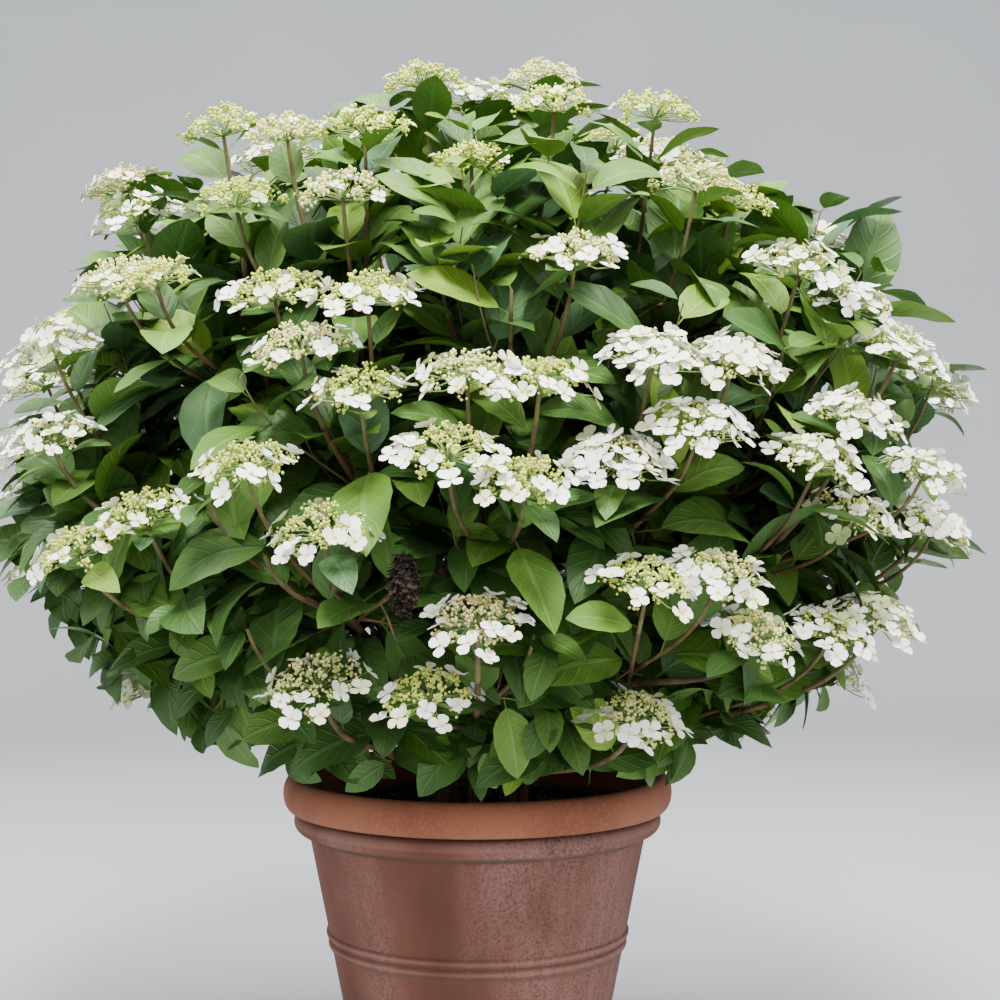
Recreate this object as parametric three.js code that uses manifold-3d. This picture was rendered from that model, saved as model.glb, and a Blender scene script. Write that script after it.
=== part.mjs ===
// A panicle hydrangea shrub standing in its terracotta pot, in millimetres, +Z up.
// The origin is the middle of the pot's flat underside and -Y is the side that the viewer sees.
// Nine stems rise from the compost. Each stem carries one mass of foliage at its tip and others on
// side boughs, and each mass is twigs, leaves and flower heads grown by one seeded rule.
import * as THREE from "three";
import { mergeVertices } from "three/addons/utils/BufferGeometryUtils.js";
import Module from "manifold-3d";

const wasm = await Module();
wasm.setup();

const GAP = 0.3;
const UP = new THREE.Vector3(0, 0, 1);
// A limb's curve leaves and arrives straight for this share of its span.
const HANDLE = 0.35;

const POT = {
  height: 410,
  footRadius: 143,
  shoulderRadius: 210,
  shoulderHeight: 338,
  wall: 15,
  floor: 16,
  chamfer: 4,
  neck: 14,
  sides: 28,
};
const BAND = { heights: [200, 213], halfHeight: 5.5, proud: 3.6 };
const COLLAR = { radius: 229, height: 352, halfHeight: 6, groove: 222 };
const RIM = { outerRadius: 242.5, innerRadius: 217.5, bottom: 362 };
const SOIL = { height: 370, mound: 9, level: 80, clear: 1.5, spread: 6 };

// The crown is a squarish dome above its widest level, and tapers like a bowl to the pot below it.
const CROWN = {
  level: 720,
  halfWidth: 602,
  halfDepth: 550,
  rise: 565,
  drop: 420,
  squareness: 2.5,
  taper: 1.3,
  lowest: 428,
};
const HUB = new THREE.Vector3(0, 0, 365);

// The limbs end at this share of the way from the hub to the crown's surface, and the leaves start
// a little further out. Leaves may stand `proud` of the surface, or `hang` out of it below its widest
// level, and may reach `shared` into the next mass's space where nothing else is.
const ENTRY = 0.5;
const LEAVES = { start: 14, proud: 8, hang: 60, shared: 26 };

const STEM = {
  footRing: 50,
  footRadius: 11,
  tipRadius: 6.2,
  flare: 4,
  flareEnds: 0.07,
  sides: 6,
  steps: 4,
};
const BOUGH = {
  leaves: 0.5,
  apart: 0.12,
  lean: 0.28,
  clear: 0.4,
  footRadius: 7.2,
  tipRadius: 5.4,
  sides: 5,
  steps: 2,
};
const TWIG = {
  footRadius: 5.6,
  tipRadius: 3,
  sideRadius: 2.4,
  sides: 3,
  steps: 1,
  first: 0.1,
  apart: 0.07,
  bare: 0.05,
};

// A leaf's sizes are shares of its length, and the length grows by `step` at each level down a twig.
const LEAF = {
  length: 170,
  outer: 0.74,
  step: 0.07,
  vary: 0.1,
  width: 0.58,
  widest: 0.44,
  thickness: 0.03,
  droop: 0.2,
  fold: 0.06,
  sink: 0.9,
  clear: 8,
  forward: 0.5,
  sag: 0.25,
  upward: 0.45,
};
// The levels are millimetres back from a twig's tip. Each try is a turn in radians and a share of size.
const LEAF_LEVELS = [6, 52, 106];
const LEAF_TRIES = [
  [0, 1],
  [0.4, 1],
  [-0.4, 1],
  [0, 0.8],
  [0.4, 0.8],
  [-0.4, 0.8],
  [0, 0.6],
  [0.4, 0.6],
];
const HEAD = {
  width: 112,
  height: 60,
  petals: 6,
  least: 0.88,
  vary: 0.22,
  ruffle: 0.2,
  sunk: 0.08,
  outward: 0.55,
  upward: 0.7,
};
// One head of last year's flowers is brown and hangs from its twig.
const DRIED = { mass: "front_left_middle", azimuth: -7.5, elevation: 33, width: 36, length: 68 };
const ROOM = { head: 0.54, sameMass: 0.68, shoot: 40, dried: 22, rounds: 16 };
const LOWEST_TIP = 16;

// Each stem's rows: name, azimuth and elevation of the mass seen from the hub, flower heads,
// leafy shoots, degrees from the mass's middle to its tips, and the first tip's turn about it.
// Azimuth 0 is towards the viewer and grows to the viewer's right. The first row is the stem's own.
// A mass spread wider than WIDE has its first tip in the middle and the others round it.
const WIDE = 10;
const STEMS = [
  { name: "centre", masses: [
    ["top", 7, 73.5, 4, 0, 6.5, 325],
    ["top_left", -29, 61.5, 4, 0, 5.5, 135],
    ["top_right", 43, 66.5, 4, 0, 5, 330],
    ["top_back", 175, 81, 6, 0, 12, 18],
  ] },
  { name: "front", masses: [
    ["front_middle", 4, 44, 4, 0, 6.5, 35],
    ["front_upper", 3, 56.5, 1, 3, 6, 0],
    ["front_lower", 4, 27, 2, 2, 6.5, 115],
  ] },
  { name: "front_right", masses: [
    ["front_right_middle", 24, 31, 3, 0, 5, 315],
    ["front_right_upper", 22, 42, 4, 0, 5.5, 35],
    ["front_right_lower", 18, 20.5, 1, 3, 7, 20],
  ] },
  { name: "right", masses: [
    ["right_middle", 51, 37.5, 4, 0, 6.5, 95],
    ["right_upper", 50, 49, 3, 1, 5, 295],
    ["right_lower", 51, 26, 2, 2, 7, 20],
  ] },
  { name: "back_right", masses: [
    ["back_right_middle", 121, 29, 5, 1, 12, -60],
    ["back_right_upper", 107, 59, 6, 0, 12.5, 30],
    ["back_right_side", 86, 34, 5, 2, 12, 0],
  ] },
  { name: "back", masses: [
    ["back_upper", 182, 55, 6, 1, 13.5, 47],
    ["back_middle", 156, 31, 6, 1, 12.5, -90],
    ["back_lower", 203, 30, 6, 1, 13, -60],
  ] },
  { name: "back_left", masses: [
    ["back_left_middle", -122, 30, 5, 1, 12, -120],
    ["back_left_upper", -113, 59, 6, 0, 13, 20],
    ["back_left_side", -88, 34, 5, 2, 12, 20],
  ] },
  { name: "left", masses: [
    ["left_middle", -61, 43, 2, 2, 7, 325],
    ["left_upper", -49, 57.5, 4, 0, 8.5, 70],
    ["left_lower", -42, 32, 2, 2, 5.5, 70],
  ] },
  { name: "front_left", masses: [
    ["front_left_middle", -25, 39, 2, 2, 5.5, 0],
    ["front_left_upper", -18, 49.5, 4, 0, 5, 230],
    ["front_left_lower", -26, 25, 1, 3, 7, 45],
  ] },
];

const COLOURS = {
  terracotta: new THREE.MeshStandardMaterial({ color: 0x9a5a44, roughness: 0.85, metalness: 0 }),
  soil: new THREE.MeshStandardMaterial({ color: 0x1d1613, roughness: 1, metalness: 0 }),
  bark: new THREE.MeshStandardMaterial({ color: 0x5a3a2c, roughness: 0.8, metalness: 0 }),
  foliage: new THREE.MeshStandardMaterial({ color: 0x3f6b35, roughness: 0.6, metalness: 0 }),
};

const degrees = THREE.MathUtils.degToRad;
const mix = THREE.MathUtils.lerp;

// A repeatable run of numbers between 0 and 1.
function dice(seed) {
  let state = (seed * 2654435761) >>> 0;
  return () => {
    state = (Math.imul(state, 1664525) + 1013904223) >>> 0;
    return state / 4294967296;
  };
}

function direction(azimuth, elevation) {
  const a = degrees(azimuth);
  const e = degrees(elevation);
  return new THREE.Vector3(Math.sin(a) * Math.cos(e), -Math.cos(a) * Math.cos(e), Math.sin(e));
}

// The distance from the hub to the crown's surface along a direction, found by halving.
function reach(d) {
  let [near, far] = [0, 2 * CROWN.halfWidth];
  for (let halving = 0; halving < 24; halving++) {
    const middle = (near + far) / 2;
    const height = HUB.z + middle * d.z - CROWN.level;
    const round = Math.hypot((middle * d.x) / CROWN.halfWidth, (middle * d.y) / CROWN.halfDepth);
    const upright = Math.abs(height) / (height > 0 ? CROWN.rise : CROWN.drop);
    const power = height > 0 ? CROWN.squareness : CROWN.taper;
    if (round ** power + upright ** power < 1) near = middle;
    else far = middle;
  }
  return near;
}

function fromHub(d, distance) {
  return HUB.clone().addScaledVector(d, distance);
}

// A limb's middle line: straight runs between `steps` + 1 points of a curve that leaves `start` along
// `first` and comes to `end` along `last`. `side` is level and square to the way that it faces. A limb
// of one step faces the same way all along.
function route(start, first, end, last, steps) {
  const span = start.distanceTo(end);
  const curve = new THREE.CubicBezierCurve3(
    start,
    start.clone().addScaledVector(first, HANDLE * span),
    end.clone().addScaledVector(last, -HANDLE * span),
    end,
  );
  const points = curve.getPoints(steps);
  const level = new THREE.Vector3(-last.y, last.x, 0).normalize();
  const straight = end.clone().sub(start).normalize();
  const frame = (t) => {
    const run = Math.min(Math.floor(t * steps), steps - 1);
    const point = points[run].clone().lerp(points[run + 1], t * steps - run);
    const along = steps === 1 ? straight.clone() : curve.getTangent(t);
    const side = level.clone().addScaledVector(along, -level.dot(along)).normalize();
    return { point, along, side, over: new THREE.Vector3().crossVectors(along, side) };
  };
  return { frame, span, steps };
}

// A bar with a changing radius, carried along a route.
function limb({ frame, steps }, radiusAt, sides) {
  const bar = new THREE.CylinderGeometry(1, 1, 1, sides, steps);
  const place = bar.getAttribute("position");
  for (let i = 0; i < place.count; i++) {
    const t = Math.round((place.getY(i) + 0.5) * steps) / steps;
    const { point, side, over } = frame(t);
    point.addScaledVector(side, place.getX(i) * radiusAt(t));
    point.addScaledVector(over, -place.getZ(i) * radiusAt(t));
    place.setXYZ(i, point.x, point.y, point.z);
  }
  return bar;
}

// A leaf blade of eight faces that starts `off` past `root`: a long octahedron folded along its midrib.
function blade(root, along, normal, length, off) {
  const leaf = new THREE.OctahedronGeometry(1, 0);
  const across = new THREE.Vector3().crossVectors(normal, along);
  const place = leaf.getAttribute("position");
  for (let i = 0; i < place.count; i++) {
    const [x, y, z] = [place.getX(i), place.getY(i), place.getZ(i)];
    const s = x > 0.5 ? length : x < -0.5 ? off : LEAF.widest * length;
    const lift = [z * LEAF.thickness * 0.5, LEAF.fold, -LEAF.droop][x > 0.5 ? 2 : Math.round(Math.abs(y))];
    const point = root
      .clone()
      .addScaledVector(along, s)
      .addScaledVector(across, y * LEAF.width * length * 0.5)
      .addScaledVector(normal, lift * length);
    place.setXYZ(i, point.x, point.y, point.z);
  }
  return leaf;
}

// A flower head: a low dome with a ruffled brim and a flat underside, its crest at `crest`.
function flowerHead(crest, axis, width, random) {
  const dome = new THREE.SphereGeometry(1, HEAD.petals, 3);
  const turn = new THREE.Quaternion().setFromUnitVectors(UP, axis);
  const ruffle = Array.from({ length: HEAD.petals }, () => 1 + HEAD.ruffle * (random() - 0.5));
  const height = (HEAD.height * width) / HEAD.width;
  const levels = [
    [0, 0],
    [0.36, -0.24],
    [0.5, -0.8],
    [0, -0.8],
  ];
  const place = dome.getAttribute("position");
  for (let i = 0; i < place.count; i++) {
    const [radius, drop] = levels[Math.round((1 - Math.acos(place.getY(i)) / Math.PI) * -3 + 3)];
    const angle = Math.atan2(place.getX(i), place.getZ(i));
    const petal = Math.round((angle / (2 * Math.PI) + 1) * HEAD.petals) % HEAD.petals;
    const spread = radius * width * ruffle[petal];
    const point = new THREE.Vector3(Math.sin(angle) * spread, -Math.cos(angle) * spread, drop * height);
    place.setXYZ(i, ...point.applyQuaternion(turn).add(crest));
  }
  return dome;
}

// The dried head: a narrow body that hangs with its top at `top`.
function driedHead(top) {
  const body = new THREE.SphereGeometry(0.5, 5, 4).rotateX(Math.PI / 2);
  body.scale(DRIED.width, DRIED.width, DRIED.length);
  return body.translate(top.x, top.y, top.z - 0.4 * DRIED.length);
}

// A closed geometry as a boolean solid, and back.
function solid(geometry) {
  const bare = geometry.clone();
  bare.deleteAttribute("normal");
  bare.deleteAttribute("uv");
  const merged = mergeVertices(bare, 1e-3);
  const triVerts = new Uint32Array(merged.index.array);
  const vertProperties = merged.getAttribute("position").array;
  return new wasm.Manifold(new wasm.Mesh({ numProp: 3, vertProperties, triVerts }));
}

function geometryOf(body) {
  const { vertProperties, triVerts } = body.getMesh();
  const geometry = new THREE.BufferGeometry();
  geometry.setAttribute("position", new THREE.BufferAttribute(vertProperties, 3));
  geometry.setIndex(new THREE.BufferAttribute(triVerts, 1));
  geometry.computeVertexNormals();
  return geometry;
}

// The largest body of a solid, with sealed hollows filled and loose scraps dropped.
function largest(body) {
  return body
    .simplify(0.02)
    .decompose()
    .sort((a, b) => b.volume() - a.volume())[0];
}

const shrub = new THREE.Group();

function add(name, geometry, material) {
  const mesh = new THREE.Mesh(geometry, material);
  mesh.name = name;
  shrub.add(mesh);
  return mesh;
}

// A profile of [radius, height] points turned about the pot's axis.
function turned(profile) {
  const points = profile.map(([radius, height]) => new THREE.Vector2(radius, height));
  return new THREE.LatheGeometry(points, POT.sides).rotateX(Math.PI / 2);
}

function arc(radius, height, halfWidth, halfHeight, from, to, steps) {
  return Array.from({ length: steps + 1 }, (_, i) => {
    const angle = degrees(from + ((to - from) * i) / steps);
    return [radius + halfWidth * Math.cos(angle), height + halfHeight * Math.sin(angle)];
  });
}

function wallRadius(height) {
  return POT.footRadius + ((POT.shoulderRadius - POT.footRadius) * height) / POT.shoulderHeight;
}

function makePot() {
  const rimHalf = (POT.height - RIM.bottom) / 2;
  const rimMiddle = RIM.bottom + rimHalf;
  const rimWidth = (RIM.outerRadius - RIM.innerRadius) / 2;
  const bands = BAND.heights.flatMap((height) => [
    [wallRadius(height - BAND.halfHeight), height - BAND.halfHeight],
    [wallRadius(height) + BAND.proud, height],
  ]);
  const bandTop = BAND.heights.at(-1) + BAND.halfHeight;
  const mouth = wallRadius(POT.shoulderHeight) - POT.wall;
  const outline = [
    [0, 0],
    [POT.footRadius - POT.chamfer, 0],
    [wallRadius(POT.chamfer), POT.chamfer],
    ...bands,
    [wallRadius(bandTop), bandTop],
    [wallRadius(POT.shoulderHeight - POT.neck), POT.shoulderHeight - POT.neck],
    [COLLAR.groove, COLLAR.height - COLLAR.halfHeight],
    [COLLAR.radius, COLLAR.height],
    [COLLAR.groove, COLLAR.height + COLLAR.halfHeight + 2],
    ...arc(RIM.innerRadius + rimWidth, rimMiddle, rimWidth, rimHalf, -60, 180, 8),
    [mouth + 8, RIM.bottom - 6],
    [mouth, POT.shoulderHeight - 12],
    [wallRadius(POT.floor) - POT.wall, POT.floor],
    [0, POT.floor],
  ];
  add("pot", turned(outline), COLOURS.terracotta);
}

function makeSoil() {
  const side = (height) => wallRadius(height) - POT.wall - SOIL.clear;
  const edge = POT.shoulderHeight - POT.neck;
  const outline = [
    [0, POT.floor + GAP],
    [side(POT.floor + GAP), POT.floor + GAP],
    [side(edge), edge],
    [side(edge) + SOIL.spread, SOIL.height - SOIL.mound],
    [SOIL.level, SOIL.height],
    [0, SOIL.height],
  ];
  add("soil", turned(outline), COLOURS.soil);
}

// The tips of every mass: flower heads first and then leafy shoots, evenly round the mass's middle.
function makeTips(masses) {
  const tips = [];
  masses.forEach((mass, index) => {
    const random = dice(index + 1);
    const middle = direction(mass.azimuth, mass.elevation);
    const right = direction(mass.azimuth + 90, 0);
    const above = direction(mass.azimuth, mass.elevation + 90);
    const inner = mass.spread > WIDE ? 1 : 0;
    const round = mass.heads + mass.shoots - inner;
    mass.tips = Array.from({ length: inner + round }, (_, i) => {
      const turn = degrees(mass.turn + (360 * i) / round);
      const spread = i < inner ? 0 : Math.tan(degrees(mass.spread));
      const aim = middle
        .clone()
        .addScaledVector(right, Math.cos(turn) * spread)
        .addScaledVector(above, Math.sin(turn) * spread)
        .normalize();
      const kind = i < mass.heads ? "head" : "shoot";
      const width = HEAD.width * (HEAD.least + HEAD.vary * random());
      const room = kind === "head" ? ROOM.head * width : ROOM.shoot;
      return { mass, aim, kind, width, room, sunk: HEAD.sunk * random() };
    });
    if (mass.name === DRIED.mass) {
      const aim = direction(DRIED.azimuth, DRIED.elevation);
      mass.tips.push({ mass, aim, kind: "dried", room: ROOM.dried, sunk: HEAD.sunk });
    }
    tips.push(...mass.tips);
  });
  return tips;
}

// Tips closer than their room are pushed apart, and none is let down on to the pot.
function spreadTips(tips) {
  const lowest = Math.sin(degrees(LOWEST_TIP));
  for (let round = 0; round < ROOM.rounds; round++)
    tips.forEach((a, i) => {
      a.reach = reach(a.aim);
      tips.slice(i + 1).forEach((b) => {
        const apart = b.aim.clone().sub(a.aim);
        const closeness = a.mass === b.mass ? ROOM.sameMass : 1;
        const wanted = (closeness * (a.room + b.room)) / a.reach;
        const short = wanted - apart.length();
        if (short <= 0) return;
        apart.setLength(0.5 * short);
        a.aim.sub(apart).normalize();
        b.aim.add(apart).normalize();
        for (const tip of [a, b]) if (tip.aim.z < lowest) tip.aim.setZ(lowest).normalize();
      });
    });
}

// A mass's space is all that lies nearer, seen from the hub, to one of its own tips than to any other
// mass's, and a little beyond, outside the limbs' part of the crown and above the pot's rim.
function inSpace(geometry, mass, tips) {
  const place = geometry.getAttribute("position");
  const point = new THREE.Vector3();
  for (let i = 0; i < place.count; i++) {
    point.fromBufferAttribute(place, i);
    if (point.z < CROWN.lowest) return false;
    point.sub(HUB);
    const distance = point.length();
    point.divideScalar(distance);
    const limit = reach(point);
    const over = HUB.z + distance * point.z < CROWN.level ? LEAVES.hang : LEAVES.proud;
    if (distance < ENTRY * limit + LEAVES.start || distance > limit + over) return false;
    let own = -1;
    let other = -1;
    for (const tip of tips) {
      const near = point.dot(tip.aim);
      if (tip.mass === mass) own = Math.max(own, near);
      else other = Math.max(other, near);
    }
    const angle = Math.acos(Math.min(1, other)) - Math.acos(Math.min(1, own));
    if (angle * distance < -LEAVES.shared) return false;
  }
  return true;
}

// Two leaves from two of a twig's three sides, other sides at each level. A leaf that would leave the
// mass's space or touch what is there is tried smaller and turned aside, and then left out.
function growPair({ twig, phase }, level, growth, growths, tips) {
  const { mass, random, placed } = growth;
  const at = 1 - LEAF_LEVELS[level] / twig.span;
  if (at < TWIG.bare) return;
  const { point, along, side, over } = twig.frame(at);
  const outward = point.clone().sub(HUB).normalize();
  for (const half of [0, 1]) {
    const chance = 1 + LEAF.vary * (2 * random() - 1);
    const size = LEAF.length * (LEAF.outer + LEAF.step * level) * chance;
    const face = degrees(120 * ((phase + level + half) % 3) - 30);
    for (const [turn, scale] of LEAF_TRIES) {
      const run = along
        .clone()
        .multiplyScalar(LEAF.forward)
        .addScaledVector(side, Math.cos(face + turn))
        .addScaledVector(over, Math.sin(face + turn))
        .addScaledVector(UP, -LEAF.sag)
        .normalize();
      const normal = outward.clone().addScaledVector(UP, LEAF.upward);
      normal.addScaledVector(run, -normal.dot(run)).normalize();
      const leaf = blade(point, run, normal, size * scale, -LEAF.sink);
      if (!inSpace(leaf, mass, tips)) continue;
      const outer = solid(blade(point, run, normal, size * scale, LEAF.clear));
      if (growths.some((other) => other.placed.some((piece) => touches(outer, piece)))) continue;
      placed.push(solid(leaf));
      break;
    }
  }
}

function touches(a, b) {
  const [p, q] = [a.boundingBox(), b.boundingBox()];
  if ([0, 1, 2].some((i) => p.min[i] > q.max[i] || q.min[i] > p.max[i])) return false;
  return !a.intersect(b).isEmpty();
}

// A mass's framework: a twig that runs on from the bough's tip to the first tip, side twigs off it to
// the others, and the flower heads on them.
function growShoots(mass, random) {
  const placed = [];
  const shoots = [];
  mass.tips.forEach((tip, i) => {
    const crest = fromHub(tip.aim, reach(tip.aim) * (1 - tip.sunk));
    const axis = tip.aim.clone().multiplyScalar(HEAD.outward).addScaledVector(UP, HEAD.upward);
    axis.normalize();
    const height = tip.kind === "head" ? (HEAD.height * tip.width) / HEAD.width : 0;
    const end = crest.clone().addScaledVector(axis, -0.5 * height);
    const leader = shoots[0]?.twig;
    const start = leader
      ? leader.frame(TWIG.first + TWIG.apart * i).point
      : fromHub(mass.aim, ENTRY * reach(mass.aim) + GAP);
    const first = leader ? end.clone().sub(start).normalize() : mass.aim;
    const twig = route(start, first, end, axis, leader ? TWIG.steps : TWIG.steps + 1);
    const radiusAt = (t) => (leader ? TWIG.sideRadius : mix(TWIG.footRadius, TWIG.tipRadius, t));
    placed.push(solid(limb(twig, radiusAt, TWIG.sides)));
    if (tip.kind === "head") placed.push(solid(flowerHead(crest, axis, tip.width, random)));
    if (tip.kind === "dried") placed.push(solid(driedHead(end)));
    shoots.push({ twig, tip, phase: Math.floor(3 * random()) });
  });
  return { mass, random, shoots, placed };
}

// A stem from the compost to the entry of its own mass, and a bough to each of its other masses.
function growLimbs(stem, index) {
  const [leader, ...others] = stem.masses;
  const ring = index === 0 ? 0 : STEM.footRing;
  const foot = direction((index - 1) * 45, 0).multiplyScalar(ring).setZ(SOIL.height + GAP);
  const end = fromHub(leader.aim, ENTRY * reach(leader.aim));
  const path = route(foot, UP, end, leader.aim, STEM.steps);
  const flare = (t) => STEM.flare * Math.exp(-t / STEM.flareEnds);
  const radiusAt = (t) => mix(STEM.footRadius, STEM.tipRadius, t) + flare(t);
  add("stem_" + stem.name, limb(path, radiusAt, STEM.sides), COLOURS.bark);
  const clearance = solid(limb(path, (t) => radiusAt(t) + BOUGH.clear, STEM.sides));
  others.forEach((mass, i) => {
    const at = BOUGH.leaves + BOUGH.apart * i;
    const { point: start, along } = path.frame(at);
    const tip = fromHub(mass.aim, ENTRY * reach(mass.aim));
    const straight = tip.clone().sub(start).normalize();
    const first = along.lerp(straight, 1 - BOUGH.lean).normalize();
    const branch = route(start, first, tip, mass.aim, BOUGH.steps);
    const branchRadius = (t) => mix(BOUGH.footRadius, BOUGH.tipRadius, t);
    const whole = solid(limb(branch, branchRadius, BOUGH.sides));
    add("bough_" + mass.name, geometryOf(largest(whole.subtract(clearance))), COLOURS.bark);
  });
}

function makeShrub() {
  const stems = STEMS.map(({ name, masses }) => ({
    name,
    masses: masses.map(([part, azimuth, elevation, heads, shoots, spread, turn]) => {
      return { name: part, azimuth, elevation, heads, shoots, spread, turn };
    }),
  }));
  const masses = stems.flatMap((stem) => stem.masses);
  const tips = makeTips(masses);
  spreadTips(tips);
  for (const mass of masses) {
    mass.aim = new THREE.Vector3();
    for (const tip of mass.tips) mass.aim.add(tip.aim);
    mass.aim.normalize();
  }
  stems.forEach(growLimbs);
  const growths = masses.map((mass, index) => growShoots(mass, dice(100 + index)));
  for (const growth of growths) {
    LEAF_LEVELS.forEach((_, level) => {
      for (const shoot of growth.shoots)
        if (level > 0 || shoot.tip.kind === "shoot") growPair(shoot, level, growth, growths, tips);
    });
    const body = largest(wasm.Manifold.union(growth.placed));
    add("foliage_" + growth.mass.name, geometryOf(body), COLOURS.foliage);
  }
}

makePot();
makeSoil();
makeShrub();

export default shrub;
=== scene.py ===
"""A panicle hydrangea in a weathered terracotta pot.

The shrub grows by one seeded rule: nine stems leave the compost, each carries masses of foliage
on itself and on its boughs, and each mass is a ring of tips on the crown's surface with a twig to
each. Leafy side shoots fill the crown between the tips. Lengths are in millimetres until a mesh
is made, heights are above the ground.
"""

import math

import bpy
import numpy as np
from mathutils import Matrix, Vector


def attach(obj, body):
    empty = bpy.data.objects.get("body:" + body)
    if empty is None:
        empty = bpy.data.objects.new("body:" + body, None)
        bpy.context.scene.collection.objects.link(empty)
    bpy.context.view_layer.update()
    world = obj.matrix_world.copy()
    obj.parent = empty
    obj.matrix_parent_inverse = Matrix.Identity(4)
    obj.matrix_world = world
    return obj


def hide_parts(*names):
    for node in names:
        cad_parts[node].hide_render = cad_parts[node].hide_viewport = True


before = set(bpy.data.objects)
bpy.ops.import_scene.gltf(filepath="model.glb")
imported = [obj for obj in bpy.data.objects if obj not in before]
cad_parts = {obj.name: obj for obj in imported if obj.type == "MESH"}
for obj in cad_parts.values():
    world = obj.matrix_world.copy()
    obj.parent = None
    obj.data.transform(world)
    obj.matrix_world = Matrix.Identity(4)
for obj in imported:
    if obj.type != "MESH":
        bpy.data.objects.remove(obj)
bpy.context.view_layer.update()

UP = np.array([0.0, 0.0, 1.0])
GOLDEN = math.pi * (3 - math.sqrt(5))
SEED = 7

# The pot: its straight wall from foot to shoulder, two half-round bands, the bead under the rim and
# the rolled rim, all as radii and heights.
POT = {"height": 410, "foot": 143, "shoulder": 210, "shoulder_z": 338, "wall": 15, "floor": 16}
BANDS = (200, 213)
BAND_PROUD, BAND_HALF = 3.6, 5.5
COLLAR = {"z": 353.5, "half": 13, "groove": 217, "proud": 12}
RIM = {"outer": 242.5, "inner": 217.5, "bottom": 367}
SOIL = {"height": 370, "mound": 9, "skirt": 300, "radius": 196}

# The crown's surface seen from the hub: half width and half depth at its widest level, rise above
# and drop below it, and the powers of the curve above and below. Leaves may stand PROUD of it above
# that level and HANG below it, and end above LOWEST, which is lower where y is under `front_of`.
HUB = np.array([0.0, 0.0, 365.0])
CROWN = {"level": 720, "width": 602, "depth": 550, "rise": 565, "drop": 420}
SQUARENESS, TAPER = 2.5, 1.3
LOWEST = {"front": 422, "round": 452, "front_of": -190}
PROUD, HANG = 22, 95

# Limbs and twigs: radii at the foot and the tip, where they leave what carries them and how far
# apart as shares of its length. A bough or stem ends at ENTRY of the crown's reach, its mass begins
# GAP beyond, and HANDLE is the length of a curve's handles as a share of its span.
ENTRY, GAP, HANDLE = 0.5, 0.3, 0.35
STEM = {
    "ring": 50, "foot": 11, "tip": 6.2, "flare": 4, "flare_ends": 0.07,
    "stations": 64, "sides": 14, "joints": 70, "joint": 5,
}
BOUGH = {"leaves": 0.5, "apart": 0.12, "lean": 0.28, "foot": 7.2, "tip": 5.4}
TWIG = {"foot": 5.4, "tip": 2.3, "side": 2.1, "first": 0.1, "apart": 0.07}

# Flower heads: a head leans `out` from the hub and `up`, and its dome drops by `drop` of its height
# to the edge. No leaf stands nearer its axis than the first `bare` of its width where it is higher
# than the second `bare` of its height under its middle. The dried head hangs from its own tip.
HEAD = {
    "width": 112, "height": 60, "least": 0.88, "vary": 0.22, "sunk": 0.08, "out": 0.55, "up": 0.7,
    "drop": 0.56, "bare": (0.42, 0.3),
}
DRIED = {
    "mass": "front_left_middle", "azimuth": -7.3, "elevation": 35.2, "sunk": 0.12,
    "width": 34, "length": 66, "pieces": 620,
}
SEPALS, SEPAL_GRID = 4, (5, 3)

# The room that a tip takes, in shares of a head's width or in millimetres, the closeness allowed
# within one mass, and the rounds of pushing apart. No tip is lower than LOWEST_TIP degrees, leafy
# shoots end SHOOT_BACK inside the surface, and a mass spread over WIDE degrees has a middle tip.
ROOM = {"head": 0.54, "same": 0.68, "shoot": 40, "dried": 22, "rounds": 16}
LOWEST_TIP, SHOOT_BACK, WIDE = 16, 48, 10

# The leaf pairs of each sort of twig: their distances back from its tip and their lengths.
PAIRS = {
    "head": ((18, 54, 98, 144, 192), (58, 86, 104, 108, 100)),
    "dried": ((60, 100), (78, 90)),
    "shoot": ((3, 30, 70, 116, 160), (54, 88, 108, 110, 100)),
    "side": ((3, 28, 68, 112), (58, 92, 114, 114)),
}

# Camera and lamps, in metres: the lens and its sensor in millimetres, the camera's tilt down in
# degrees, and each lamp's place, width and watts. All lamps point at LIT_HEIGHT.
CAMERA = {"sensor": 36, "lens": 72, "place": (0.028, -2.5, 0.79), "down": 0.9}
LIGHTS = (
    ("key", (0.15, -2.4, 3.9), 1.6, 475),
    ("top", (0.0, 0.3, 3.4), 2.4, 120),
    ("left", (-2.1, 0.0, 3.2), 1.8, 90),
    ("right", (2.1, 0.1, 3.4), 1.8, 110),
)
LIT_HEIGHT = 0.7
STUDIO = {"colour": (0.90, 0.94, 1.0, 1), "strength": 1.2}

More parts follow.
